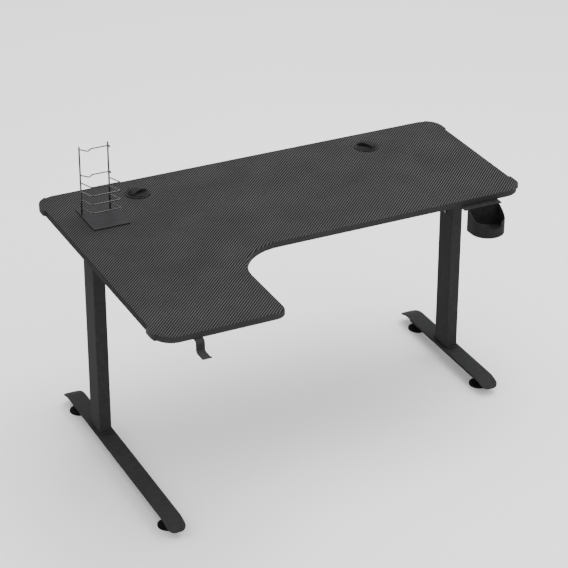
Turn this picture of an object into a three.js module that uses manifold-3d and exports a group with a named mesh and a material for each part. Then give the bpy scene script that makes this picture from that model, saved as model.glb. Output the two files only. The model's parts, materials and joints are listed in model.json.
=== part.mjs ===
// L-shaped corner desk on two T-legs, with cable grommets, cup holder, headphone hook and a wire rack.
// Millimetres, +Z up. X runs along the back edge, the user sits at -Y, the short return is at -X.
import * as THREE from 'three';
import { mergeGeometries, mergeVertices } from 'three/addons/utils/BufferGeometryUtils.js';
import Module from 'manifold-3d';

const wasm = await Module();
wasm.setup();

// driving dimensions
const deskWidth = 1400;
const deskHeight = 733;
const mainDepth = 584;
const returnDepth = 981;
const returnWidth = 394;
const panelThickness = 19;
const clearance = 0.3;

// top panel outline
const cornerRadius = 60;
const lobeOut = 6;
const lobeAlongSide = 88;
const frontLobeStart = 38;
const returnCornerRadius = 40;
const kneeRadius = 155;
const edgeBandThickness = 1;

// legs, all centred under the side strips of the panel
const legInset = 79;
const columnY = -281;
const columnWidth = 40;
const columnDepth = 80;
const columnWall = 1.6;
const columnCorner = 4;
const footWidth = 60;
const footThickness = 4;
const footTop = 44;
const footDrop = 18;
const footRear = -10;
const leftFootFront = -889;
const rightFootFront = -583;
const footNoseLength = 58;
const footCorner = 22;
const railWidth = 36;
const railHeight = 20;
const railWall = 1.6;
const glideInset = 80;
const glideRadius = 32.5;
const glideHeight = 12;
const studRadius = 4;

// frame under the panel
const armWidth = 40;
const armHeight = 20;
const tubeWall = 1.6;
const armRear = -45;
const leftArmFront = -905;
const rightArmFront = -525;
const mountPlateThickness = 2;
const rearBarY = -165;
const frontBarY = -440;
const returnBarY = -800;
const returnBarEnd = 345;
const barWidth = 30;
const screwRadius = 2.2;
const screwDepth = 12;
const boltRadius = 3;
const nutHeight = 5;
const nutRadius = 7.5;
const footBoltLength = 36;
const spigotWall = 2;
const gussetThickness = 3;
const gussetBoltPitch = 52;

// accessories
const grommetInset = 300;
const grommetY = -100;
const grommetFlangeRadius = 40;
const grommetBore = 30;
const cupX = 1240;
const cupStandOff = 23;
const cupRadius = 55;
const cupWall = 3;
const cupBottom = 640;
const cupRim = 687;
const cupSlotBottom = 664;
const cupSlotRadius = 22;
const hookX = 114;
const hookWidth = 27;
const hookThickness = 3;
const hookReach = 64;
const hookDrop = 38;
const rackLeft = 83;
const rackWidth = 120;
const rackRear = -128;
const rackDepth = 156;
const rackPostY = -172;
const rackPostX = [88, 180];
const rackPostRadius = 2.6;
const rackWireRadius = 1.9;
const rackPostTop = 962;
const shelfCount = 4;
const shelfFirst = 759;
const shelfPitch = 28.5;
const shelfReach = 94;
const shelfRise = 24;
const cradleHeights = [870, 955];

// values worked out from the driving dimensions
const panelBottom = deskHeight - panelThickness;
const underPanel = panelBottom - clearance;
const mountPlateBottom = underPanel - mountPlateThickness;
const armTop = mountPlateBottom - clearance;
const armBottom = armTop - armHeight;
const columnBottom = footTop + clearance + 4 + clearance;
const columnTop = armBottom - clearance;
const legX = { left: legInset, right: deskWidth - legInset };
const footFront = { left: leftFootFront, right: rightFootFront };
const armFront = { left: leftArmFront, right: rightArmFront };
const hookFront = -(returnDepth + hookReach);

const finishes = {
  film: { color: 0x4a4a4a, roughness: 0.55, metalness: 0.0 },
  edging: { color: 0x222222, roughness: 0.5, metalness: 0.0 },
  powderCoat: { color: 0x333333, roughness: 0.6, metalness: 0.1 },
  plastic: { color: 0x262626, roughness: 0.55, metalness: 0.0 },
  rubber: { color: 0x1b1b1b, roughness: 0.9, metalness: 0.0 },
  zinc: { color: 0xb8bcc0, roughness: 0.35, metalness: 1.0 },
  wire: { color: 0x1c1c1c, roughness: 0.5, metalness: 0.2 },
};

const desk = new THREE.Group();

// ---- helpers -------------------------------------------------------------------------------

function addPart(name, geometry, finish) {
  const mesh = new THREE.Mesh(geometry, new THREE.MeshStandardMaterial(finishes[finish]));
  mesh.name = name;
  desk.add(mesh);
  return mesh;
}

function toSolid(geometry) {
  const bare = geometry.clone();
  bare.deleteAttribute('normal');
  bare.deleteAttribute('uv');
  const merged = mergeVertices(bare, 1e-4);
  return new wasm.Manifold(new wasm.Mesh({
    numProp: 3,
    vertProperties: new Float32Array(merged.attributes.position.array),
    triVerts: new Uint32Array(merged.index.array),
  }));
}

function toGeometry(solid) {
  const mesh = solid.getMesh();
  const geometry = new THREE.BufferGeometry();
  geometry.setAttribute('position', new THREE.BufferAttribute(mesh.vertProperties, 3));
  geometry.setIndex(new THREE.BufferAttribute(mesh.triVerts, 1));
  geometry.computeVertexNormals();
  return geometry;
}

function cut(body, tools) {
  const result = tools.reduce((solid, tool) => solid.subtract(toSolid(tool)), toSolid(body));
  return toGeometry(result);
}

function join(bodies) {
  const [first, ...others] = bodies.map(toSolid);
  return toGeometry(others.reduce((solid, other) => solid.add(other), first));
}

function together(geometries) {
  const bare = geometries.map((geometry) => {
    const copy = geometry.index ? geometry.toNonIndexed() : geometry.clone();
    copy.deleteAttribute('normal');
    copy.deleteAttribute('uv');
    return copy;
  });
  return mergeVertices(mergeGeometries(bare), 1e-4);
}

function box(x0, x1, y0, y1, z0, z1) {
  const geometry = new THREE.BoxGeometry(x1 - x0, y1 - y0, z1 - z0);
  return geometry.translate((x0 + x1) / 2, (y0 + y1) / 2, (z0 + z1) / 2);
}

function rod(x, y, z0, z1, radius, sides = 12) {
  const geometry = new THREE.CylinderGeometry(radius, radius, z1 - z0, sides);
  return geometry.rotateX(Math.PI / 2).translate(x, y, (z0 + z1) / 2);
}

function rodBetween(x0, x1, y, z, radius, sides = 12) {
  const geometry = new THREE.CylinderGeometry(radius, radius, Math.abs(x1 - x0), sides);
  return geometry.rotateZ(Math.PI / 2).translate((x0 + x1) / 2, y, z);
}

function arcPoints(x, y, radius, startDegrees, endDegrees, steps) {
  const points = [];
  for (let i = 0; i <= steps; i += 1) {
    const angle = THREE.MathUtils.degToRad(startDegrees + ((endDegrees - startDegrees) * i) / steps);
    points.push(new THREE.Vector2(x + radius * Math.cos(angle), y + radius * Math.sin(angle)));
  }
  return points;
}

function roundedRectangle(width, height, radius, steps = 3) {
  const x = width / 2 - radius;
  const y = height / 2 - radius;
  return [
    ...arcPoints(x, -y, radius, -90, 0, steps),
    ...arcPoints(x, y, radius, 0, 90, steps),
    ...arcPoints(-x, y, radius, 90, 180, steps),
    ...arcPoints(-x, -y, radius, 180, 270, steps),
  ];
}

function upright(outline, z0, z1, holes = []) {
  const shape = new THREE.Shape(outline);
  holes.forEach((hole) => shape.holes.push(new THREE.Path(hole)));
  return new THREE.ExtrudeGeometry(shape, { depth: z1 - z0, bevelEnabled: false }).translate(0, 0, z0);
}

// outline points are (x, z), the solid runs from yRear forward to yFront
function alongY(outline, yRear, yFront, holes = []) {
  return upright(outline, 0, yRear - yFront, holes).rotateX(Math.PI / 2).translate(0, yRear, 0);
}

// outline points are (y, z), the solid runs from x0 to x1
function alongX(outline, x0, x1, holes = []) {
  const turn = new THREE.Matrix4().makeBasis(
    new THREE.Vector3(0, 1, 0),
    new THREE.Vector3(0, 0, 1),
    new THREE.Vector3(1, 0, 0),
  );
  return upright(outline, 0, x1 - x0, holes).applyMatrix4(turn).translate(x0, 0, 0);
}

function boxTube(width, height, wall, radius) {
  const inner = roundedRectangle(width - 2 * wall, height - 2 * wall, Math.max(radius - wall, 0.6), 2);
  return { outer: roundedRectangle(width, height, radius, 2), inner };
}

function tubeAlongY(x, z, width, height, wall, yRear, yFront) {
  const section = boxTube(width, height, wall, 2.5);
  return alongY(section.outer, yRear, yFront, [section.inner]).translate(x, 0, z);
}

function tubeAlongX(y, z, width, height, wall, x0, x1) {
  const section = boxTube(width, height, wall, 2.5);
  return alongX(section.outer, x0, x1, [section.inner]).translate(0, y, z);
}

// a pan-head screw driven upwards, head under z
function panelScrew(x, y, z) {
  const head = rod(x, y, z - 2.4, z, 4.5, 8);
  const shank = rod(x, y, z - 1, panelBottom + screwDepth, screwRadius, 6);
  return join([head, shank]);
}

// a hex bolt standing upright, head under z
function bolt(x, y, z, length, radius = boltRadius) {
  const head = rod(x, y, z - radius * 1.3, z, radius * 1.9, 6);
  const shank = rod(x, y, z - 1, z + length, radius, 8);
  return join([head, shank]);
}

function ring(x, y, z0, z1, outer, inner, sides = 24) {
  return upright(arcPoints(0, 0, outer, 0, 360 - 360 / sides, sides - 1), z0, z1, [
    arcPoints(0, 0, inner, 0, 360 - 360 / sides, sides - 1),
  ]).translate(x, y, 0);
}

// a wire through straight stretches with rounded bends between them
function bentWire(points, bendRadius, radius, steps) {
  const path = new THREE.CurvePath();
  let from = points[0];
  points.slice(1, -1).forEach((corner, index) => {
    const before = corner.clone().sub(points[index]).normalize();
    const after = points[index + 2].clone().sub(corner).normalize();
    const entry = corner.clone().addScaledVector(before, -bendRadius);
    const exit = corner.clone().addScaledVector(after, bendRadius);
    path.add(new THREE.LineCurve3(from, entry));
    path.add(new THREE.QuadraticBezierCurve3(entry, corner, exit));
    from = exit;
  });
  path.add(new THREE.LineCurve3(from, points[points.length - 1]));
  const section = new THREE.Shape(arcPoints(0, 0, radius, 0, 300, 5));
  return new THREE.ExtrudeGeometry(section, { steps, extrudePath: path, bevelEnabled: false });
}

// ---- screw positions -----------------------------------------------------------------------

function mountPlates() {
  const plates = [];
  const addCrosswise = (x, y) => plates.push({ x, y, sizeX: 84, sizeY: 26, offset: new THREE.Vector2(33, 0) });
  const addLengthwise = (x, y) => plates.push({ x, y, sizeX: 26, sizeY: 74, offset: new THREE.Vector2(0, 28) });
  [-75, -360, -600, -875].forEach((y) => addCrosswise(legX.left, y));
  [-75, -360, -495].forEach((y) => addCrosswise(legX.right, y));
  [480, 920].forEach((x) => {
    addLengthwise(x, rearBarY);
    addLengthwise(x, frontBarY);
  });
  addLengthwise(290, returnBarY);
  return plates;
}

const cupScrews = [new THREE.Vector2(cupX - 45, -555), new THREE.Vector2(cupX + 45, -555)];
const hookScrews = [new THREE.Vector2(hookX, -938), new THREE.Vector2(hookX, -962)];

function plateScrewPoints(plate) {
  return [-1, 1].map((side) => new THREE.Vector2(plate.x + side * plate.offset.x, plate.y + side * plate.offset.y));
}

// ---- top panel -----------------------------------------------------------------------------

const bandStep = edgeBandThickness + clearance;

// right-hand back corner, walked from the side to the back edge
function backCorner() {
  const x = deskWidth - cornerRadius;
  const y = -cornerRadius;
  return [
    new THREE.Vector2(deskWidth - bandStep, -lobeAlongSide - 3),
    new THREE.Vector2(deskWidth, -lobeAlongSide - 2),
    new THREE.Vector2(deskWidth + lobeOut, -lobeAlongSide + 4),
    ...arcPoints(x, y, cornerRadius + lobeOut, 0, 62, 8),
    ...arcPoints(x, y, cornerRadius, 64, 90, 4),
    new THREE.Vector2(x - 1, -bandStep),
  ];
}

// right-hand front corner, walked from the front edge to the side
function frontCorner(frontY) {
  const x = deskWidth - cornerRadius;
  const y = frontY + cornerRadius;
  const split = THREE.MathUtils.radToDeg(Math.asin((frontLobeStart - cornerRadius) / cornerRadius));
  return [
    ...arcPoints(x, y, cornerRadius, -90, split - 2, 8),
    ...arcPoints(x, y, cornerRadius + lobeOut, split, 0, 3),
    new THREE.Vector2(deskWidth + lobeOut, frontY + lobeAlongSide),
    new THREE.Vector2(deskWidth, frontY + lobeAlongSide + 6),
    new THREE.Vector2(deskWidth - bandStep, frontY + lobeAlongSide + 7),
  ];
}

function mirrored(points) {
  return points.map((point) => new THREE.Vector2(deskWidth - point.x, point.y)).reverse();
}

function panelOutline() {
  return [
    ...arcPoints(returnWidth - returnCornerRadius, returnCornerRadius - returnDepth, returnCornerRadius, -90, 0, 6),
    ...arcPoints(returnWidth + kneeRadius, -mainDepth - kneeRadius, kneeRadius, 180, 90, 12),
    ...frontCorner(-mainDepth),
    ...backCorner(),
    ...mirrored(backCorner()),
    ...mirrored(frontCorner(-returnDepth)),
  ];
}

function buildPanel() {
  const bores = [grommetInset, deskWidth - grommetInset].map((x) => (
    arcPoints(x, grommetY, grommetBore, 0, 345, 23)
  ));
  const board = upright(panelOutline(), panelBottom, deskHeight, bores);
  const screwPoints = [...mountPlates().flatMap(plateScrewPoints), ...cupScrews, ...hookScrews];
  const pilots = screwPoints.map((point) => (
    rod(point.x, point.y, panelBottom - 1, panelBottom + screwDepth + clearance, screwRadius + clearance, 6)
  ));
  addPart('desktop_panel', cut(board, [together(pilots)]), 'film');
}

function buildEdgeBands() {
  const sideRear = -lobeAlongSide - 4;
  const sideFront = { left: lobeAlongSide + 8 - returnDepth, right: lobeAlongSide + 8 - mainDepth };
  const bandZ = [panelBottom, deskHeight];
  addPart('left_edge_band', box(0, edgeBandThickness, sideFront.left, sideRear, ...bandZ), 'edging');
  addPart('right_edge_band',
    box(deskWidth - edgeBandThickness, deskWidth, sideFront.right, sideRear, ...bandZ), 'edging');
  addPart('back_edge_band',
    box(cornerRadius + 2, deskWidth - cornerRadius - 2, -edgeBandThickness, 0, ...bandZ), 'edging');
}

// ---- legs ----------------------------------------------------------------------------------

const columnBoltHeights = [538, 638];
const footBoltOffsets = [-22, 22];

function footPlanOutline(x, front) {
  const length = footRear - front;
  return roundedRectangle(footWidth, length, footCorner, 4)
    .map((point) => new THREE.Vector2(point.x + x, point.y + (footRear + front) / 2));
}

// side view of the pressed foot: flat between the noses, eased down towards both tips
function footSideOutline(front) {
  const steps = 5;
  const heightAt = (distance) => {
    const past = Math.max(0, footNoseLength - distance) / footNoseLength;
    return footTop - footDrop * past ** 1.6;
  };
  const rearHalf = [];
  for (let i = 0; i <= steps; i += 1) rearHalf.push((footNoseLength * i) / steps);
  const top = [
    ...rearHalf.map((d) => new THREE.Vector2(footRear - d, heightAt(d))),
    ...rearHalf.reverse().map((d) => new THREE.Vector2(front + d, heightAt(d))),
  ];
  const bottom = top.map((point) => new THREE.Vector2(point.x, point.y - footThickness)).reverse();
  return [...top, ...bottom].reverse();
}

function buildFoot(side) {
  const x = legX[side];
  const front = footFront[side];
  const glideYs = [footRear - glideInset, front + glideInset];
  const boltHole = (y) => rod(x, y, 0, 60, boltRadius + 1 + clearance, 8);
  const boltHoles = footBoltOffsets.map((offset) => boltHole(columnY + offset));

  const plan = toSolid(upright(footPlanOutline(x, front), 0, 60));
  const strip = toSolid(alongX(footSideOutline(front), x - 40, x + 40));
  addPart(`${side}_foot_plate`, cut(toGeometry(plan.intersect(strip)), boltHoles), 'powderCoat');

  const railTop = footTop - footThickness - clearance;
  const railBottom = railTop - railHeight;
  const railRear = glideYs[0] + 21;
  const railFront = glideYs[1] - 21;
  const rail = tubeAlongY(x, railTop - railHeight / 2, railWidth, railHeight, railWall, railRear, railFront);
  const weldNuts = glideYs.map((y) => rod(x, y, railBottom + 1, railBottom + railWall + nutHeight, nutRadius, 6));
  const studHoles = glideYs.map((y) => rod(x, y, railBottom - 1, railBottom + 12, studRadius + clearance));
  addPart(`${side}_foot_rail`, cut(join([rail, ...weldNuts]), [...boltHoles, ...studHoles]), 'powderCoat');

  footBoltOffsets.forEach((offset, index) => {
    const footBolt = bolt(x, columnY + offset, railBottom - clearance, footBoltLength, boltRadius + 1);
    addPart(`${side}_foot_bolt_${index + 1}`, footBolt, 'zinc');
  });

  ['rear', 'front'].forEach((end, index) => buildGlide(`${side}_${end}`, x, glideYs[index], railBottom));
}

function buildGlide(name, x, y, railBottom) {
  const socketRadius = 5;
  const profile = [
    [0, 0], [glideRadius - 1.5, 0], [glideRadius, 1.5], [glideRadius, 4], [glideRadius - 6, 9],
    [13, glideHeight], [socketRadius, glideHeight], [socketRadius, 4], [0, 4],
  ].map(([radius, height]) => new THREE.Vector2(radius, height));
  const pad = new THREE.LatheGeometry(profile, 24).rotateX(Math.PI / 2).translate(x, y, 0);
  addPart(`${name}_glide_pad`, toGeometry(toSolid(pad)), 'rubber');

  const shank = rod(x, y, 4 + clearance, railBottom + 17, studRadius);
  const collar = rod(x, y, glideHeight + clearance, railBottom - clearance, 7.5, 6);
  addPart(`${name}_glide_stud`, join([shank, collar]), 'zinc');
}

function buildColumn(side) {
  const x = legX[side];
  const inward = side === 'left' ? 1 : -1;
  const innerFace = x + (inward * columnWidth) / 2;
  const crossHoles = columnBoltHeights.map((z) => (
    rodBetween(x, x + inward * 30, columnY, z, boltRadius + clearance, 8)
  ));

  const section = boxTube(columnWidth, columnDepth, columnWall, columnCorner);
  const tube = upright(section.outer, columnBottom, columnTop, [section.inner]).translate(x, columnY, 0);
  addPart(`${side}_column`, cut(tube, crossHoles), 'powderCoat');

  const plateReach = columnDepth / 2 + 9;
  const plate = box(
    x - 18, x + 18, columnY - plateReach, columnY + plateReach,
    footTop + clearance, columnBottom - clearance,
  );
  const plateHoles = footBoltOffsets.map((offset) => rod(x, columnY + offset, 40, 60, boltRadius + 1 + clearance, 8));
  addPart(`${side}_column_base_plate`, cut(plate, plateHoles), 'powderCoat');

  const spigotGap = columnWall + 0.8;
  const inner = boxTube(columnWidth - 2 * spigotGap, columnDepth - 2 * spigotGap, spigotWall, 3);
  const spigot = upright(inner.outer, columnBoltHeights[0] - 25, columnTop, [inner.inner]).translate(x, columnY, 0);
  const wallInside = x + inward * (columnWidth / 2 - spigotGap - spigotWall);
  const weldNuts = columnBoltHeights.map((z) => (
    rodBetween(wallInside + inward, wallInside - inward * nutHeight, columnY, z, nutRadius, 6)
  ));
  addPart(`${side}_column_spigot`, cut(join([spigot, ...weldNuts]), crossHoles), 'powderCoat');

  columnBoltHeights.forEach((z, index) => {
    const seat = innerFace + inward * clearance;
    const head = rodBetween(seat, seat + inward * 3, columnY, z, boltRadius * 2, 12);
    const shank = rodBetween(wallInside - inward * (nutHeight + 2), seat + inward, columnY, z, boltRadius, 8);
    addPart(`${side}_column_bolt_${index + 1}`, join([head, shank]), 'zinc');
  });
}

// ---- frame under the panel -----------------------------------------------------------------

// a tube with the mounting plates welded on top of it that carry the panel
function addRail(name, tube, plates) {
  const bodies = plates.map((plate) => box(
    plate.x - plate.sizeX / 2, plate.x + plate.sizeX / 2,
    plate.y - plate.sizeY / 2, plate.y + plate.sizeY / 2,
    armTop - 0.5, underPanel,
  ));
  const holes = plates.flatMap(plateScrewPoints).map((point) => (
    rod(point.x, point.y, armTop - 5, underPanel + 5, screwRadius + clearance, 6)
  ));
  addPart(name, cut(join([tube, ...bodies]), holes), 'powderCoat');
}

function buildFrame() {
  const middle = armTop - armHeight / 2;
  const plates = mountPlates();
  ['left', 'right'].forEach((side) => {
    const tube = tubeAlongY(legX[side], middle, armWidth, armHeight, tubeWall, armRear, armFront[side]);
    addRail(`${side}_top_arm`, tube, plates.filter((plate) => plate.x === legX[side]));
  });
  const barStart = legX.left + armWidth / 2 + clearance;
  const barEnd = legX.right - armWidth / 2 - clearance;
  const crossbars = [['rear', rearBarY, barEnd], ['front', frontBarY, barEnd], ['return', returnBarY, returnBarEnd]];
  crossbars.forEach(([name, y, end]) => {
    const tube = tubeAlongX(y, middle, barWidth, armHeight, tubeWall, barStart, end);
    addRail(`${name}_crossbar`, tube, plates.filter((plate) => plate.y === y));
  });
  buildGussets();
}

// a flat gusset is bolted under each joint of an arm and a crossbar
function buildGussets() {
  const top = armBottom - clearance;
  const joints = [
    ['left_rear', legX.left, rearBarY, 1],
    ['left_front', legX.left, frontBarY, 1],
    ['left_return', legX.left, returnBarY, 1],
    ['right_rear', legX.right, rearBarY, -1],
    ['right_front', legX.right, frontBarY, -1],
  ];
  joints.forEach(([name, x, y, inward]) => {
    const [x0, x1] = [x - inward * 16, x + inward * 74].sort((a, b) => a - b);
    const holes = [x, x + inward * gussetBoltPitch].map((holeX) => (
      rod(holeX, y, top - 10, top + 10, boltRadius + clearance, 8)
    ));
    addPart(`${name}_gusset`, cut(box(x0, x1, y - 14, y + 14, top - gussetThickness, top), holes), 'powderCoat');
  });
}

// ---- accessories on the panel --------------------------------------------------------------

function buildGrommet(side, x, mouthDegrees) {
  const flangeBottom = deskHeight + clearance;
  const flangeTop = flangeBottom + 2.4;
  const sleeveInner = 27.5;
  const flange = ring(0, 0, flangeBottom, flangeTop, grommetFlangeRadius, sleeveInner);
  const sleeve = ring(0, 0, panelBottom + 3, flangeTop - 1, grommetBore - 0.4, sleeveInner);
  addPart(`${side}_grommet_sleeve`, join([flange, sleeve]).translate(x, grommetY, 0), 'plastic');

  const hoodRadius = 31;
  const hoodHeight = 16;
  const skin = 2.2;
  const mouthDepth = 12;
  const mouthRadius = 12;
  const plateThickness = 1.6;
  const base = flangeTop + clearance;
  const collarOuter = sleeveInner - clearance;
  const collarInner = collarOuter - skin;
  const dome = (radius, height, cutAt) => {
    const ball = new THREE.SphereGeometry(1, 20, 10).rotateX(Math.PI / 2).scale(radius, radius, height);
    const half = toSolid(ball).intersect(toSolid(box(-50, cutAt, -50, 50, 0, 50)));
    return toGeometry(half).translate(0, 0, base);
  };
  const hollow = dome(hoodRadius - skin, hoodHeight - skin, mouthDepth - skin).translate(0, 0, -0.01);
  const mouth = rodBetween(mouthDepth - 6, mouthDepth + 6, 0, base + plateThickness, mouthRadius, 20);
  const shell = cut(dome(hoodRadius, hoodHeight, mouthDepth), [hollow, mouth]);
  const bore = toSolid(rod(0, 0, base - 1, base + 3, collarInner, 24));
  const underHood = toGeometry(bore.intersect(toSolid(box(-50, mouthDepth - skin, -50, 50, base - 2, base + 4))));
  const plate = cut(rod(0, 0, base, base + plateThickness, hoodRadius - 0.4, 24), [underHood]);
  const collar = ring(0, 0, base - 8, base + 1, collarOuter, collarInner);
  const cap = join([shell, plate, collar]).rotateZ(THREE.MathUtils.degToRad(mouthDegrees));
  addPart(`${side}_grommet_cap`, cap.translate(x, grommetY, 0), 'plastic');
}

function cupOutline(radius, rearY) {
  const y = -mainDepth - 51;
  return [
    new THREE.Vector2(cupX + radius, rearY),
    new THREE.Vector2(cupX - radius, rearY),
    ...arcPoints(cupX, y, radius, 180, 360, 14),
  ];
}

function buildCupHolder() {
  const rear = -mainDepth - cupStandOff;
  const tub = upright(cupOutline(cupRadius, rear), cupBottom, underPanel);
  const inside = upright(cupOutline(cupRadius - cupWall, rear - cupWall), cupBottom + cupWall, underPanel + 5);
  const aboveRim = alongX([
    [rear - 3, panelBottom + 5], [rear - 3, underPanel], [rear - 12, underPanel - 3],
    [rear - 46, cupRim], [-mainDepth - 130, cupRim], [-mainDepth - 130, panelBottom + 5],
  ].map(([y, z]) => new THREE.Vector2(y, z)), cupX - 80, cupX + 80);
  const slot = alongY([
    ...arcPoints(cupX, cupSlotBottom + cupSlotRadius, cupSlotRadius, 180, 360, 8),
    new THREE.Vector2(cupX + cupSlotRadius + 8, panelBottom),
    new THREE.Vector2(cupX - cupSlotRadius - 8, panelBottom),
  ], -mainDepth - 80, -mainDepth - 130);
  const flange = box(cupX - 66, cupX + 66, rear - 3, -mainDepth + 50, underPanel - cupWall, underPanel);
  const holes = cupScrews.map((point) => (
    rod(point.x, point.y, underPanel - 10, underPanel + 10, screwRadius + clearance, 6)
  ));
  const body = join([cut(tub, [inside, aboveRim, slot]), flange]);
  addPart('cup_holder', cut(body, holes), 'plastic');
  cupScrews.forEach((point, index) => {
    addPart(`cup_holder_screw_${index + 1}`, panelScrew(point.x, point.y, underPanel - cupWall - clearance), 'zinc');
  });
}

// side view of the flat steel hook, outer line then back along the inner line
function hookOutline() {
  const top = underPanel;
  const dropY = -returnDepth - 14;
  const armTopZ = panelBottom - hookDrop + hookThickness;
  const outer = 12;
  const inner = outer - hookThickness;
  const lipY = hookFront;
  return [
    new THREE.Vector2(-925, top),
    ...arcPoints(dropY + outer, top - outer, outer, 90, 180, 4),
    ...arcPoints(dropY - inner, armTopZ + inner, inner, 0, -90, 4),
    ...arcPoints(lipY + outer, armTopZ + inner, inner, -90, -160, 3),
    ...arcPoints(lipY + outer, armTopZ + inner, outer, -160, -90, 3),
    ...arcPoints(dropY - inner, armTopZ + inner, outer, -90, 0, 4),
    ...arcPoints(dropY + outer, top - outer, inner, 180, 90, 4),
    new THREE.Vector2(-925, top - hookThickness),
  ];
}

function buildHook() {
  const bar = alongX(hookOutline(), hookX - hookWidth / 2, hookX + hookWidth / 2);
  const holes = hookScrews.map((point) => (
    rod(point.x, point.y, underPanel - 10, underPanel + 10, screwRadius + clearance, 6)
  ));
  addPart('headphone_hook', cut(bar, holes), 'powderCoat');
  hookScrews.forEach((point, index) => {
    const screw = panelScrew(point.x, point.y, underPanel - hookThickness - clearance);
    addPart(`headphone_hook_screw_${index + 1}`, screw, 'zinc');
  });
}

// ---- wire rack -----------------------------------------------------------------------------

function buildRack() {
  const linerBottom = deskHeight + clearance;
  const linerTop = linerBottom + 1.5;
  const plateBottom = linerTop + clearance;
  const plateTop = plateBottom + 2;
  const rackRight = rackLeft + rackWidth;
  const rackFront = rackRear - rackDepth;
  addPart('rack_base_liner',
    box(rackLeft + 3, rackRight - 3, rackFront + 3, rackRear - 3, linerBottom, linerTop), 'rubber');
  addPart('rack_base_plate', box(rackLeft, rackRight, rackFront, rackRear, plateBottom, plateTop), 'powderCoat');
  ['left', 'right'].forEach((side, index) => {
    const post = rod(rackPostX[index], rackPostY, plateTop + clearance, rackPostTop, rackPostRadius, 10);
    addPart(`rack_${side}_post`, post, 'wire');
  });
  const startY = rackPostY - rackPostRadius - clearance;
  const [leftX, rightX] = rackPostX;
  for (let shelf = 0; shelf < shelfCount; shelf += 1) {
    const z = shelfFirst + shelf * shelfPitch;
    const route = [
      new THREE.Vector3(leftX, startY, z),
      new THREE.Vector3(leftX, rackPostY - shelfReach, z + shelfRise),
      new THREE.Vector3(rightX, rackPostY - shelfReach, z + shelfRise),
      new THREE.Vector3(rightX, startY, z),
    ];
    addPart(`rack_shelf_wire_${shelf + 1}`, bentWire(route, 9, rackWireRadius, 26), 'wire');
  }
  cradleHeights.forEach((z, index) => {
    const route = [
      new THREE.Vector3(leftX, startY, z),
      new THREE.Vector3(leftX + 12, rackPostY - 46, z + 10),
      new THREE.Vector3(leftX + 16, rackPostY - 56, z + 22),
      new THREE.Vector3(rightX - 16, rackPostY - 56, z + 22),
      new THREE.Vector3(rightX - 12, rackPostY - 46, z + 10),
      new THREE.Vector3(rightX, startY, z),
    ];
    addPart(`rack_controller_cradle_${index + 1}`, bentWire(route, 5, rackWireRadius, 30), 'wire');
  });
}

// ---- the whole desk ------------------------------------------------------------------------

buildPanel();
buildEdgeBands();
['left', 'right'].forEach((side) => {
  buildFoot(side);
  buildColumn(side);
});
buildFrame();
buildGrommet('left', grommetInset, -70);
buildGrommet('right', deskWidth - grommetInset, 217);
buildCupHolder();
buildHook();
buildRack();

// origin on the floor, in the middle of the desk's width and of its full depth
desk.position.set(-deskWidth / 2, -hookFront / 2, 0);

export default desk;
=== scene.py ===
import json
import math

import bpy
from mathutils import Matrix, Vector


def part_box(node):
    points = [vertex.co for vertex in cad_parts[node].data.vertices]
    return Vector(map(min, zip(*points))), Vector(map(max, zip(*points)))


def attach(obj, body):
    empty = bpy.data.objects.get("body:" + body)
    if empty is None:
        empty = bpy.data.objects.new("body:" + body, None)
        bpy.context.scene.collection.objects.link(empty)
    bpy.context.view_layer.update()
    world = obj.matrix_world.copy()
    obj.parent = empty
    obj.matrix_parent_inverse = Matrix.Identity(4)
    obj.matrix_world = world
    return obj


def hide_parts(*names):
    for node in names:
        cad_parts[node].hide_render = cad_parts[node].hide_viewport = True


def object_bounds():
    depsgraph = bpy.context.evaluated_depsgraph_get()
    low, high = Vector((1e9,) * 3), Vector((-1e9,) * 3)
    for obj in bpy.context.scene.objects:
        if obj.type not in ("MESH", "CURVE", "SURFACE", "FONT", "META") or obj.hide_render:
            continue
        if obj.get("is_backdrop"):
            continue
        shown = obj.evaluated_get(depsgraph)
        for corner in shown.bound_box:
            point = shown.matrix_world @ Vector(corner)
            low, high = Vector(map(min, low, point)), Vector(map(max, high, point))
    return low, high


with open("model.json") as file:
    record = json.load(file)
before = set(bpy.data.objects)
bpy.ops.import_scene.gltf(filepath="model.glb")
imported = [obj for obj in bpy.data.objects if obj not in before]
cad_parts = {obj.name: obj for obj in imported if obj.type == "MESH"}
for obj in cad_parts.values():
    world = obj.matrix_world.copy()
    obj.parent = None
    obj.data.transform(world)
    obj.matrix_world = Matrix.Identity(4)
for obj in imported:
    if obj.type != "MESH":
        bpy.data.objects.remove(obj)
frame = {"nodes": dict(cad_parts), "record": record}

cadLow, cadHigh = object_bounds()
record = frame["record"]
bodyOfNode = {node: body for body, nodes in record["behaviour"]["bodies"].items() for node in nodes}
slotOfNode = {entry["node"]: entry["material_slot"] for entry in record["subparts"]}
mm = 0.001


# ---- small helpers

def makeActive(piece):
    if bpy.context.object and bpy.context.object.mode != "OBJECT":
        bpy.ops.object.mode_set(mode="OBJECT")
    bpy.ops.object.select_all(action="DESELECT")
    piece.select_set(True)
    bpy.context.view_layer.objects.active = piece


def clearSelection():
    if bpy.context.object and bpy.context.object.mode != "OBJECT":
        bpy.ops.object.mode_set(mode="OBJECT")
    bpy.ops.object.select_all(action="DESELECT")


def selectFaces(piece, wanted):
    # wanted(centre, normal) says which faces are picked
    bpy.ops.object.mode_set(mode="OBJECT")
    for vertex in piece.data.vertices:
        vertex.select = False
    for edge in piece.data.edges:
        edge.select = False
    for face in piece.data.polygons:
        face.select = bool(wanted(face.center, face.normal))
    bpy.ops.object.mode_set(mode="EDIT")
    bpy.ops.mesh.select_mode(type="FACE")


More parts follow.
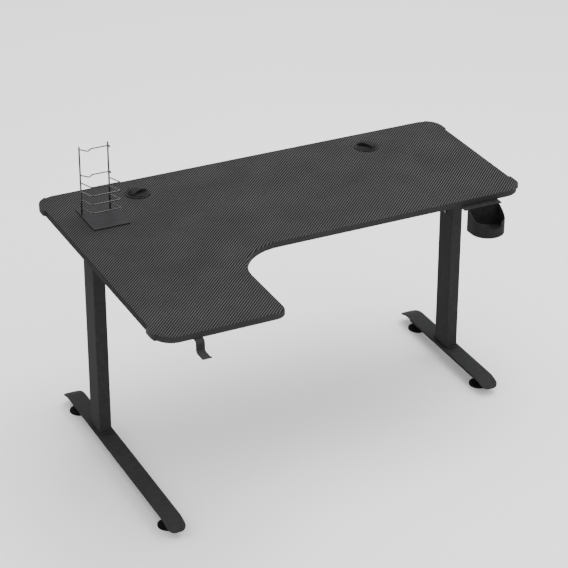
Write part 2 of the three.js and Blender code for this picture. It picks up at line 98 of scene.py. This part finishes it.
def selectEdges(piece, wanted):
    # wanted(end, otherEnd) says which edges are picked
    bpy.ops.object.mode_set(mode="OBJECT")
    for face in piece.data.polygons:
        face.select = False
    for vertex in piece.data.vertices:
        vertex.select = False
    points = [vertex.co for vertex in piece.data.vertices]
    for edge in piece.data.edges:
        edge.select = bool(wanted(points[edge.vertices[0]], points[edge.vertices[1]]))
    picked = [edge.index for edge in piece.data.edges if edge.select]
    bpy.ops.object.mode_set(mode="EDIT")
    bpy.ops.mesh.select_mode(type="EDGE")
    return len(picked)


def applyModifier(piece, kind, **settings):
    makeActive(piece)
    modifier = piece.modifiers.new(kind.title(), kind)
    for name, value in settings.items():
        setattr(modifier, name, value)
    bpy.ops.object.modifier_apply(modifier=modifier.name)


def smoothByAngle(piece, degrees=38):
    # weighted normals keep the large flats flat beside the small roundings
    makeActive(piece)
    bpy.ops.object.shade_smooth_by_angle(angle=math.radians(degrees))
    applyModifier(piece, "WEIGHTED_NORMAL", weight=100, keep_sharp=True)


def placeInMesh(piece):
    makeActive(piece)
    bpy.ops.object.transform_apply(location=True, rotation=True, scale=True)


def finishPiece(piece, name, body, material):
    piece.name = name
    piece.data.name = name
    piece.data.materials.clear()
    piece.data.materials.append(material)
    placeInMesh(piece)
    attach(piece, body)
    return piece


def copyOfNode(node, name):
    # a CAD node's mesh is loose triangles, so the copy is merged and its flat faces are cleaned
    piece = bpy.data.objects.new(name, frame["nodes"][node].data.copy())
    bpy.context.scene.collection.objects.link(piece)
    makeActive(piece)
    bpy.ops.object.mode_set(mode="EDIT")
    bpy.ops.mesh.select_all(action="SELECT")
    bpy.ops.mesh.remove_doubles(threshold=0.00001)
    bpy.ops.mesh.dissolve_limited(angle_limit=math.radians(0.6))
    bpy.ops.object.mode_set(mode="OBJECT")
    return piece


def softenNode(node, material, edge=0.8, segments=2, angle=35, smooth=38):
    # the CAD shape with its sharp arrises eased, edge in millimetres
    name = node + "_finished"
    piece = copyOfNode(node, name)
    if edge:
        applyModifier(piece, "BEVEL", width=edge * mm, segments=segments, limit_method="ANGLE",
                      angle_limit=math.radians(angle), miter_outer="MITER_ARC")
    smoothByAngle(piece, smooth)
    finishPiece(piece, name, bodyOfNode[node], material)
    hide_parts(node)
    return piece


def copyPiece(piece, name, offset):
    # a copy with its own mesh, moved inside the mesh
    twin = bpy.data.objects.new(name, piece.data.copy())
    bpy.context.scene.collection.objects.link(twin)
    twin.data.transform(Matrix.Translation(Vector(offset)))
    return twin


def srgb(hexColour):
    parts = [int(hexColour[i:i + 2], 16) / 255 for i in (1, 3, 5)]
    linear = [c / 12.92 if c <= 0.04045 else ((c + 0.055) / 1.055) ** 2.4 for c in parts]
    return (*linear, 1.0)


def addNode(material, kind, settings=None, links=None):
    node = material.node_tree.nodes.new(kind)
    for name, value in (settings or {}).items():
        if isinstance(name, str) and hasattr(node, name):
            setattr(node, name, value)
        else:
            node.inputs[name].default_value = value
    for name, source in (links or {}).items():
        material.node_tree.links.new(source, node.inputs[name])
    return node


def newMaterial(name):
    material = bpy.data.materials.new(name)
    material.use_nodes = True
    material.node_tree.nodes.clear()
    return material


def closeMaterial(material, settings, links):
    shader = addNode(material, "ShaderNodeBsdfPrincipled", settings, links)
    addNode(material, "ShaderNodeOutputMaterial", None, {"Surface": shader.outputs["BSDF"]})
    return material


# ---- materials

film = {
    "towWidth": 2.64,        # mm, one tow of the printed twill
    "darkTow": "#010101",
    "lightTow": "#404040",
    "stretched": "#303031",  # where the film is pulled round an edge
    "roughness": 0.5,
    "relief": 0.09,          # mm
}


def carbonLookPvcFilm():
    # embossed PVC film with a carbon twill print: diagonal ribs, light and dark tows, soft satin glints
    m = newMaterial("carbonLookPvcFilm")
    coords = addNode(m, "ShaderNodeTexCoord").outputs["Object"]
    perTow = 1000 / film["towWidth"]
    scaled = addNode(m, "ShaderNodeMapping", {"Scale": (perTow, perTow, perTow)}, {"Vector": coords})
    axes = addNode(m, "ShaderNodeSeparateXYZ", None, {"Vector": scaled.outputs[0]})
    cellX = addNode(m, "ShaderNodeMath", {"operation": "FLOOR"}, {0: axes.outputs["X"]})
    cellY = addNode(m, "ShaderNodeMath", {"operation": "FLOOR"}, {0: axes.outputs["Y"]})
    diagonal = addNode(m, "ShaderNodeMath", {"operation": "SUBTRACT"},
                       {0: cellX.outputs[0], 1: cellY.outputs[0]})
    turn = addNode(m, "ShaderNodeMath", {"operation": "FLOORED_MODULO", 1: 4.0}, {0: diagonal.outputs[0]})
    warpUp = addNode(m, "ShaderNodeMath", {"operation": "LESS_THAN", 1: 2.0}, {0: turn.outputs[0]})
    acrossX = addNode(m, "ShaderNodeMath", {"operation": "PINGPONG", 1: 0.5}, {0: axes.outputs["X"]})
    acrossY = addNode(m, "ShaderNodeMath", {"operation": "PINGPONG", 1: 0.5}, {0: axes.outputs["Y"]})
    crown = addNode(m, "ShaderNodeMix", {"data_type": "FLOAT"},
                    {0: warpUp.outputs[0], 2: acrossX.outputs[0], 3: acrossY.outputs[0]})
    patches = addNode(m, "ShaderNodeTexNoise", {"Scale": 7.0, "Detail": 3.0, "Roughness": 0.6},
                      {"Vector": coords})
    threads = addNode(m, "ShaderNodeTexNoise", {"Scale": 900.0, "Detail": 2.0}, {"Vector": coords})
    tows = addNode(m, "ShaderNodeMix",
                   {"data_type": "RGBA", 6: srgb(film["darkTow"]), 7: srgb(film["lightTow"])},
                   {0: warpUp.outputs[0]})
    # the embossing is ironed out where the film turns down over the edge
    normals = addNode(m, "ShaderNodeTexCoord").outputs["Normal"]
    facing = addNode(m, "ShaderNodeSeparateXYZ", None, {"Vector": normals})
    flat = addNode(m, "ShaderNodeMapRange", {"From Min": 0.35, "From Max": 0.9},
                   {"Value": facing.outputs["Z"]})
    printed = addNode(m, "ShaderNodeMix", {"data_type": "RGBA", 6: srgb(film["stretched"])},
                     {0: flat.outputs[0], 7: tows.outputs[2]})
    shade = addNode(m, "ShaderNodeMapRange",
                    {"From Min": 0.3, "From Max": 0.7, "To Min": 0.86, "To Max": 1.12},
                    {"Value": patches.outputs[0]})
    colour = addNode(m, "ShaderNodeMix", {"data_type": "RGBA", "blend_type": "MULTIPLY", 0: 1.0},
                     {6: printed.outputs[2], 7: shade.outputs[0]})
    gloss = addNode(m, "ShaderNodeMapRange",
                    {"To Min": film["roughness"] - 0.06, "To Max": film["roughness"] + 0.08},
                    {"Value": patches.outputs[0]})
    relief = addNode(m, "ShaderNodeMath", {"operation": "MULTIPLY"},
                     {0: crown.outputs[0], 1: flat.outputs[0]})
    height = addNode(m, "ShaderNodeMath", {"operation": "MULTIPLY_ADD", 1: 0.12},
                     {0: threads.outputs[0], 2: relief.outputs[0]})
    bump = addNode(m, "ShaderNodeBump", {"Strength": 0.8, "Distance": film["relief"] * 2 * mm},
                   {"Height": height.outputs[0]})
    return closeMaterial(m, {"IOR": 1.5, "Specular IOR Level": 0.015}, {
        "Base Color": colour.outputs[2], "Roughness": gloss.outputs[0], "Normal": bump.outputs[0]})


def grainedFinish(name, base, light, roughness, grain, relief, mottle=60.0, shine=0.03, metallic=0.0):
    # a black finish with a fine grain: grain and relief in millimetres
    m = newMaterial(name)
    coords = addNode(m, "ShaderNodeTexCoord").outputs["Object"]
    speck = addNode(m, "ShaderNodeTexNoise", {"Scale": 1000 / grain, "Detail": 2.0, "Roughness": 0.6},
                    {"Vector": coords})
    cloud = addNode(m, "ShaderNodeTexNoise", {"Scale": mottle, "Detail": 4.0}, {"Vector": coords})
    blend = addNode(m, "ShaderNodeMath", {"operation": "MULTIPLY_ADD", 1: 0.5},
                    {0: speck.outputs[0], 2: cloud.outputs[0]})
    factor = addNode(m, "ShaderNodeMapRange", {"From Min": 0.5, "From Max": 1.0}, {"Value": blend.outputs[0]})
    colour = addNode(m, "ShaderNodeMix", {"data_type": "RGBA", 6: srgb(base), 7: srgb(light)},
                     {0: factor.outputs[0]})
    gloss = addNode(m, "ShaderNodeMapRange",
                    {"From Min": 0.3, "From Max": 0.7,
                     "To Min": roughness - 0.05, "To Max": roughness + 0.06},
                    {"Value": cloud.outputs[0]})
    bump = addNode(m, "ShaderNodeBump", {"Strength": 0.6, "Distance": relief * mm},
                   {"Height": speck.outputs[0]})
    return closeMaterial(m, {"IOR": 1.5, "Specular IOR Level": shine, "Metallic": metallic}, {
        "Base Color": colour.outputs[2], "Roughness": gloss.outputs[0], "Normal": bump.outputs[0]})


filmFinish = carbonLookPvcFilm()
# satin black powder coat on steel: pinhead orange peel that breaks up the reflections
powderCoat = grainedFinish("powderCoatedSteel", "#2d2d2e", "#343435", 0.5, 1.6, 0.06, shine=0.006)
# PVC edge banding: nearly smooth, darker than the film
edgeBanding = grainedFinish("pvcEdgeBanding", "#121212", "#1c1c1c", 0.42, 2.5, 0.02, shine=0.01)
# ABS moulded in a spark-textured tool: even and dull
mouldedAbs = grainedFinish("sparkTexturedAbs", "#1d1d1d", "#292929", 0.55, 0.9, 0.05)
# moulded rubber: matte, greyish bloom in patches
mouldedRubber = grainedFinish("mouldedRubber", "#0e0e0e", "#1d1d1d", 0.78, 1.2, 0.05, mottle=25.0)
# dip-painted wire: glossier, so it catches thin highlights
dippedWire = grainedFinish("dipPaintedWire", "#0c0c0c", "#161616", 0.26, 2.0, 0.02, shine=0.6)
# blackened steel screw heads: dark metal, a little shine on the rims
blackOxide = grainedFinish("blackOxideSteel", "#3a3a3c", "#4d4d50", 0.4, 1.5, 0.02, shine=0.5, metallic=1.0)
# bright zinc plate: pale metal with a faint bluish cloudiness
zincPlate = grainedFinish("brightZincPlate", "#a9adb2", "#c9ccd0", 0.34, 1.5, 0.02, shine=0.5, metallic=1.0)
# melamine backing of the board: dull charcoal paper under the film
backingPaper = grainedFinish("melamineBacking", "#1b1b1b", "#262626", 0.6, 1.0, 0.03)
print("materials made")


# ---- the top

topPanel = {"waterfallRadius": 9.0}   # mm, wrapped front edges
panelLow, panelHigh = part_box("desktop_panel")
returnFront = panelLow.y
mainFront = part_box("right_edge_band")[0].y - 0.096   # the band starts 96 mm behind the front edge


def isFrontPoint(p):
    # on the wrapped edge: the return's front and inner side, the inner curve and the main front
    inSides = panelLow.x + 0.066 < p.x < panelHigh.x - 0.066
    if not inSides:
        return False
    if p.y < returnFront + 0.3:
        return p.y < returnFront + 0.001 or p.x > panelLow.x + 0.3
    return p.y < mainFront + 0.001 and p.x > panelLow.x + 0.3


def inside(a, b):
    # an edge across the face, which joins two points of the outline far apart
    return (a - b).length > 0.1 and abs(a.y - b.y) > 0.01 and abs(a.x - b.x) > 0.01


def finishTop():
    piece = copyOfNode("desktop_panel", "desktop_panel_finished")
    top = panelHigh.z - 0.00001
    picked = selectEdges(piece, lambda a, b: a.z > top and b.z > top and isFrontPoint(a) and isFrontPoint(b)
                         and not inside(a, b))
    print("wrapped edges", picked)
    bpy.ops.mesh.bevel(offset=topPanel["waterfallRadius"] * mm, segments=6, affect="EDGES",
                       clamp_overlap=False)
    bpy.ops.object.mode_set(mode="OBJECT")
    smoothByAngle(piece, 32)
    finishPiece(piece, "desktop_panel_finished", "desk_frame", filmFinish)
    piece.data.materials.append(backingPaper)
    for face in piece.data.polygons:
        if face.normal.z < -0.9:
            face.material_index = 1
    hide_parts("desktop_panel")


finishTop()
for node in ("left_edge_band", "right_edge_band", "back_edge_band"):
    softenNode(node, edgeBanding, 0.35)
print("top made")


# ---- legs

for side in ("left", "right"):
    softenNode(side + "_column", powderCoat, 0)
    softenNode(side + "_foot_plate", powderCoat, 0.9, 2, 50)
    softenNode(side + "_column_base_plate", powderCoat, 0.6)
    softenNode(side + "_foot_rail", powderCoat, 0)

glidePad = {
    "radius": 32.5, "height": 12.0,   # mm
    "rim": 4.0,                       # straight rim above the floor
    "shoulder": 13.0,                 # radius of the flat under the stud's collar
}


def makeGlide(node):
    low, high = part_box(node)
    centre = (low + high) / 2
    clearSelection()
    rim = glidePad["rim"] * mm
    bpy.ops.mesh.primitive_cylinder_add(vertices=96, radius=glidePad["radius"] * mm, depth=rim,
                                        location=(centre.x, centre.y, rim / 2))
    piece = bpy.context.object
    placeInMesh(piece)
    selectFaces(piece, lambda c, n: n.z > 0.9)
    steps = 6
    climb = (glidePad["height"] - glidePad["rim"]) * mm
    radius = glidePad["radius"]
    for step in range(1, steps + 1):
        part = step / steps
        nextRadius = glidePad["radius"] - (glidePad["radius"] - glidePad["shoulder"]) * part ** 1.15
        lift = climb * (math.sin(math.pi / 2 * part) - math.sin(math.pi / 2 * (part - 1 / steps)))
        bpy.ops.mesh.extrude_region_move(TRANSFORM_OT_translate={"value": (0, 0, lift)})
        bpy.ops.transform.resize(value=(nextRadius / radius, nextRadius / radius, 1), center_override=(
            centre.x, centre.y, rim))
        radius = nextRadius
    bpy.ops.object.mode_set(mode="OBJECT")
    # every other strip of the rim is pressed in a little, as grip ribs
    selectFaces(piece, lambda c, n: abs(n.z) < 0.3 and c.z < rim
                and round(math.atan2(c.y - centre.y, c.x - centre.x) / math.tau * 96) % 4 == 0)
    bpy.ops.mesh.inset(thickness=0.0004, use_individual=True)
    bpy.ops.transform.resize(value=(0.985, 0.985, 1), center_override=(centre.x, centre.y, rim / 2))
    bpy.ops.object.mode_set(mode="OBJECT")
    applyModifier(piece, "BEVEL", width=0.0007, segments=2, limit_method="ANGLE", angle_limit=math.radians(50))
    smoothByAngle(piece, 40)
    return piece


firstGlide = "left_rear_glide_pad"
glideMaster = makeGlide(firstGlide)
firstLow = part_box(firstGlide)[0]
for side in ("left", "right"):
    for end in ("rear", "front"):
        node = f"{side}_{end}_glide_pad"
        piece = copyPiece(glideMaster, node + "_finished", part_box(node)[0] - firstLow)
        finishPiece(piece, node + "_finished", bodyOfNode[node], mouldedRubber)
        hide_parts(node)
        softenNode(f"{side}_{end}_glide_stud", zincPlate, 0.2)
bpy.data.objects.remove(glideMaster)
print("legs made")


# ---- frame under the top

for node in ("left_top_arm", "right_top_arm", "rear_crossbar", "front_crossbar", "return_crossbar"):
    softenNode(node, powderCoat, 0)
for node in ("left_rear_gusset", "left_front_gusset", "left_return_gusset", "right_rear_gusset",
             "right_front_gusset"):
    softenNode(node, powderCoat, 0.5)
for node, slot in slotOfNode.items():
    if slot == "zinc_steel" and "glide" not in node:
        softenNode(node, zincPlate, 0.25)
    if slot == "black_oxide":
        softenNode(node, blackOxide, 0.4)
for node in ("left_column_spigot", "right_column_spigot"):
    softenNode(node, powderCoat, 0)

screw = {"headRadius": 4.5, "headHeight": 2.4, "slotWidth": 1.1, "slotDepth": 1.2}   # mm


def makeScrewHead():
    # pan head with a cross recess, facing down, its seat at z 0
    clearSelection()
    height = screw["headHeight"] * mm
    bpy.ops.mesh.primitive_cylinder_add(vertices=32, radius=screw["headRadius"] * mm, depth=height,
                                        location=(0, 0, -height / 2))
    piece = bpy.context.object
    placeInMesh(piece)
    selectFaces(piece, lambda c, n: n.z < -0.9)
    bpy.ops.mesh.inset(thickness=1.2 * mm)
    bpy.ops.transform.translate(value=(0, 0, -0.3 * mm))
    bpy.ops.object.mode_set(mode="OBJECT")
    for turn in (0, 90):
        clearSelection()
        bpy.ops.mesh.primitive_cube_add(size=1, location=(0, 0, -screw["headHeight"] * mm - 0.3 * mm))
        cutter = bpy.context.object
        cutter.scale = (5 * mm, screw["slotWidth"] * mm, 2 * screw["slotDepth"] * mm)
        cutter.rotation_euler = (0, 0, math.radians(turn))
        placeInMesh(cutter)
        applyModifier(piece, "BOOLEAN", operation="DIFFERENCE", object=cutter, solver="EXACT")
        bpy.data.objects.remove(cutter)
    applyModifier(piece, "BEVEL", width=0.00025, segments=2, limit_method="ANGLE", angle_limit=math.radians(40))
    smoothByAngle(piece, 38)
    return piece


def plateCentres():
    # (x, y, half distance along x, half distance along y) of each pair of screws
    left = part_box("left_top_arm")
    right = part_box("right_top_arm")
    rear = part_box("rear_crossbar")
    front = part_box("front_crossbar")
    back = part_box("return_crossbar")
    leftX, rightX = (left[0].x + left[1].x) / 2, (right[0].x + right[1].x) / 2
    edge = cadHigh.y
    pairs = [(leftX, edge - y * mm, 33 * mm, 0) for y in (75, 360, 600, 875)]
    pairs += [(rightX, edge - y * mm, 33 * mm, 0) for y in (75, 360, 495)]
    for bar in (rear, front):
        middle = (bar[0].y + bar[1].y) / 2
        pairs += [(panelLow.x + (6 + x) * mm, middle, 0, 28 * mm) for x in (480, 920)]
    pairs.append((panelLow.x + 296 * mm, (back[0].y + back[1].y) / 2, 0, 28 * mm))
    return pairs


def joinCopies(master, name, offsets, body, material):
    copies = [copyPiece(master, name, offset) for offset in offsets]
    makeActive(copies[0])
    for twin in copies:
        twin.select_set(True)
    bpy.ops.object.join()
    return finishPiece(copies[0], name, body, material)


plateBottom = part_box("left_top_arm")[1].z - 2 * mm
screwHead = makeScrewHead()
screwPlaces = [(x + s * dx, y + s * dy, plateBottom) for x, y, dx, dy in plateCentres() for s in (-1, 1)]
joinCopies(screwHead, "panel_screws", screwPlaces, "desk_frame", zincPlate)
bpy.data.objects.remove(screwHead)

hexBolt = {"acrossCorners": 11.5, "headHeight": 4.0}   # mm, M6


def makeHexHead():
    clearSelection()
    bpy.ops.mesh.primitive_cylinder_add(vertices=6, radius=hexBolt["acrossCorners"] / 2 * mm,
                                        depth=hexBolt["headHeight"] * mm,
                                        location=(0, 0, -hexBolt["headHeight"] / 2 * mm))
    piece = bpy.context.object
    placeInMesh(piece)
    selectFaces(piece, lambda c, n: n.z < -0.9)
    bpy.ops.mesh.inset(thickness=0.9 * mm)
    bpy.ops.transform.translate(value=(0, 0, -0.5 * mm))
    bpy.ops.mesh.inset(thickness=0.8 * mm)
    bpy.ops.transform.translate(value=(0, 0, 0.3 * mm))
    bpy.ops.object.mode_set(mode="OBJECT")
    applyModifier(piece, "BEVEL", width=0.0003, segments=2, limit_method="ANGLE", angle_limit=math.radians(25))
    smoothByAngle(piece, 30)
    return piece


hexHead = makeHexHead()
boltPlaces = []
for node in ("left_rear_gusset", "left_front_gusset", "left_return_gusset", "right_rear_gusset",
             "right_front_gusset"):
    low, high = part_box(node)
    middleY = (low.y + high.y) / 2
    if node.startswith("left"):
        xs = (low.x + 16 * mm, low.x + 68 * mm)
    else:
        xs = (high.x - 16 * mm, high.x - 68 * mm)
    boltPlaces += [(x, middleY, low.z) for x in xs]
joinCopies(hexHead, "gusset_bolts", boltPlaces, "desk_frame", zincPlate)
bpy.data.objects.remove(hexHead)

plug = {"flange": 1.6, "corner": 2.5, "crown": 0.8}   # mm, plastic end plugs of the tubes


def makePlug(name, node, end, sizeX, sizeZ, centreX, centreZ):
    # end +1 at the tube's rear end, -1 at its front end
    low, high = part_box(node)
    face = high.y if end > 0 else low.y
    clearSelection()
    bpy.ops.mesh.primitive_cube_add(size=1, location=(centreX, face + end * plug["flange"] / 2 * mm, centreZ))
    piece = bpy.context.object
    piece.scale = (sizeX, plug["flange"] * mm, sizeZ)
    placeInMesh(piece)
    selectEdges(piece, lambda a, b: abs(a.y - b.y) > 0.0005)
    bpy.ops.mesh.bevel(offset=plug["corner"] * mm, segments=4, affect="EDGES")
    selectFaces(piece, lambda c, n: n.y * end > 0.9)
    bpy.ops.mesh.inset(thickness=2.0 * mm)
    bpy.ops.transform.translate(value=(0, end * plug["crown"] * mm, 0))
    bpy.ops.object.mode_set(mode="OBJECT")
    applyModifier(piece, "BEVEL", width=0.0004, segments=2, limit_method="ANGLE", angle_limit=math.radians(50))
    smoothByAngle(piece, 38)
    return finishPiece(piece, name, "desk_frame", mouldedAbs)


for side in ("left", "right"):
    armLow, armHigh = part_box(side + "_top_arm")
    railLow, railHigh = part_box(side + "_foot_rail")
    legMiddle = (armLow.x + armHigh.x) / 2
    for end, word in ((1, "rear"), (-1, "front")):
        makePlug(f"{side}_arm_{word}_plug", side + "_top_arm", end, 40 * mm, 20 * mm, legMiddle, armLow.z + 10 * mm)
        makePlug(f"{side}_rail_{word}_plug", side + "_foot_rail", end, railHigh.x - railLow.x,
                 railHigh.z - railLow.z, legMiddle, (railLow.z + railHigh.z) / 2)
print("underframe made")


# ---- grommets, cup holder and hook

for side in ("left", "right"):
    softenNode(side + "_grommet_sleeve", mouldedAbs, 0.9, 3)
    softenNode(side + "_grommet_cap", mouldedAbs, 0.5, 2, 45)
softenNode("cup_holder", mouldedAbs, 1.0, 2, 45)
softenNode("headphone_hook", powderCoat, 0.6, 2, 50)
print("accessories made")


# ---- wire rack

rackWire = {   # mm
    "shelfRadius": 1.9, "postRadius": 2.6, "shelfBend": 9.0, "cradleBend": 6.0,
    "dipIn": 12.0, "dipUp": 10.0,   # where a cradle starts to rise, in from the post and up from its foot
    "tipIn": 16.0,                  # the raised tip, in from the post
}
softenNode("rack_base_plate", powderCoat, 0.6)
softenNode("rack_base_liner", mouldedRubber, 0)


def roundedRoute(corners, bend):
    # straight stretches with a smooth bend at each inner corner
    route = [corners[0]]
    for before, corner, after in zip(corners, corners[1:], corners[2:]):
        entry = corner + (before - corner).normalized() * bend
        leave = corner + (after - corner).normalized() * bend
        for step in range(9):
            t = step / 8
            route.append(entry * (1 - t) ** 2 + corner * 2 * t * (1 - t) + leave * t * t)
    route.append(corners[-1])
    return route


def makeWire(node, corners, bend, radius):
    name = node + "_finished"
    curve = bpy.data.curves.new(name, "CURVE")
    curve.dimensions = "3D"
    curve.bevel_depth = radius
    curve.bevel_resolution = 3
    curve.use_fill_caps = True
    route = roundedRoute(corners, bend)
    spline = curve.splines.new("POLY")
    spline.points.add(len(route) - 1)
    for point, place in zip(spline.points, route):
        point.co = (*place, 1)
    piece = bpy.data.objects.new(name, curve)
    bpy.context.scene.collection.objects.link(piece)
    makeActive(piece)
    bpy.ops.object.convert(target="MESH")
    piece = bpy.context.object
    smoothByAngle(piece, 50)
    finishPiece(piece, name, "desk_frame", dippedWire)
    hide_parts(node)


leftPost = (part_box("rack_left_post")[0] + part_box("rack_left_post")[1]) / 2
rightPost = (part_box("rack_right_post")[0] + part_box("rack_right_post")[1]) / 2
shelfRadius = rackWire["shelfRadius"] * mm
postRadius = rackWire["postRadius"] * mm
dipIn, dipUp, tipIn = rackWire["dipIn"] * mm, rackWire["dipUp"] * mm, rackWire["tipIn"] * mm
for post, node in ((leftPost, "rack_left_post"), (rightPost, "rack_right_post")):
    low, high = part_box(node)
    makeWire(node, [Vector((post.x, post.y, low.z)), Vector((post.x, post.y, post.z)),
                    Vector((post.x, post.y, high.z))], 0.001, postRadius)
for index in range(1, 5):
    node = f"rack_shelf_wire_{index}"
    low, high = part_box(node)
    z0, z1 = low.z + shelfRadius, high.z - shelfRadius
    y0, y1 = leftPost.y - postRadius, low.y + shelfRadius
    makeWire(node, [Vector((leftPost.x, y0, z0)), Vector((leftPost.x, y1, z1)),
                    Vector((rightPost.x, y1, z1)), Vector((rightPost.x, y0, z0))],
             rackWire["shelfBend"] * mm, shelfRadius)
for index in (1, 2):
    node = f"rack_controller_cradle_{index}"
    low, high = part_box(node)
    z0, z1 = low.z + shelfRadius, high.z - shelfRadius
    y0, y1 = leftPost.y - postRadius, low.y + shelfRadius
    dipY, dipZ = y1 + dipUp, z0 + dipUp
    corners = [Vector((leftPost.x, y0, z0)), Vector((leftPost.x + dipIn, dipY, dipZ)),
               Vector((leftPost.x + tipIn, y1, z1)), Vector((rightPost.x - tipIn, y1, z1)),
               Vector((rightPost.x - dipIn, dipY, dipZ)), Vector((rightPost.x, y0, z0))]
    makeWire(node, corners, rackWire["cradleBend"] * mm, shelfRadius)
print("rack made")


# ---- floor, light and camera

studio = {
    "horizon": 0.3, "zenith": 1.9,   # strength of the soft white surround, low down and overhead
    "keyWatts": 170, "fillWatts": 45,
}


def plainFloor():
    m = newMaterial("paleFloor")
    coords = addNode(m, "ShaderNodeTexCoord").outputs["Object"]
    cloud = addNode(m, "ShaderNodeTexNoise", {"Scale": 1.5, "Detail": 2.0}, {"Vector": coords})
    colour = addNode(m, "ShaderNodeMix", {"data_type": "RGBA", 6: srgb("#f4f4f4"), 7: srgb("#f8f8f8")},
                     {0: cloud.outputs[0]})
    return closeMaterial(m, {"Roughness": 0.9}, {"Base Color": colour.outputs[2]})


clearSelection()
bpy.ops.mesh.primitive_plane_add(size=30, location=(0, 0, -0.0005))
floor = bpy.context.object
floor.name = "floor"
floor.data.materials.append(plainFloor())
floor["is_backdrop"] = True

world = bpy.context.scene.world or bpy.data.worlds.new("studio")
bpy.context.scene.world = world
world.use_nodes = True
background = world.node_tree.nodes.get("Background") or world.node_tree.nodes.new("ShaderNodeBackground")
background.inputs["Color"].default_value = (1.0, 1.0, 1.0, 1.0)
sky = world.node_tree.nodes
direction = sky.new("ShaderNodeTexCoord")
heightOnSky = sky.new("ShaderNodeSeparateXYZ")
strength = sky.new("ShaderNodeMapRange")
strength.inputs["From Min"].default_value = 0.05
strength.inputs["From Max"].default_value = 0.75
strength.inputs["To Min"].default_value = studio["horizon"]
strength.inputs["To Max"].default_value = studio["zenith"]
world.node_tree.links.new(direction.outputs["Generated"], heightOnSky.inputs[0])
world.node_tree.links.new(heightOnSky.outputs["Z"], strength.inputs["Value"])
world.node_tree.links.new(strength.outputs[0], background.inputs["Strength"])


def addLight(name, place, target, watts, size):
    light = bpy.data.lights.new(name, "AREA")
    light.shape = "SQUARE"
    light.size = size
    light.energy = watts
    lamp = bpy.data.objects.new(name, light)
    bpy.context.scene.collection.objects.link(lamp)
    lamp.location = place
    lamp.rotation_euler = (Vector(target) - Vector(place)).to_track_quat("-Z", "Y").to_euler()


addLight("key", (0.9, 0.7, 4.2), (0, 0, 0.6), studio["keyWatts"], 3.4)
addLight("fill", (1.2, -4.0, 3.4), (0, 0, 0.5), studio["fillWatts"], 3.0)

view = {"place": (-2.6567, -5.2395, 3.6660), "yaw": 26.015, "pitch": 28.147, "roll": 0.088, "lens": 138.0}
cameraData = bpy.data.cameras.new("camera")
cameraData.lens = view["lens"]
cameraData.sensor_width = 36.0
cameraData.shift_x, cameraData.shift_y = -0.00088, 0.00088
camera = bpy.data.objects.new("camera", cameraData)
bpy.context.scene.collection.objects.link(camera)
aim = (Matrix.Rotation(math.radians(-view["yaw"]), 4, "Z")
       @ Matrix.Rotation(math.radians(90 - view["pitch"]), 4, "X")
       @ Matrix.Rotation(math.radians(view["roll"]), 4, "Z"))
camera.matrix_world = Matrix.Translation(Vector(view["place"])) @ aim
bpy.context.scene.camera = camera

low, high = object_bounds()
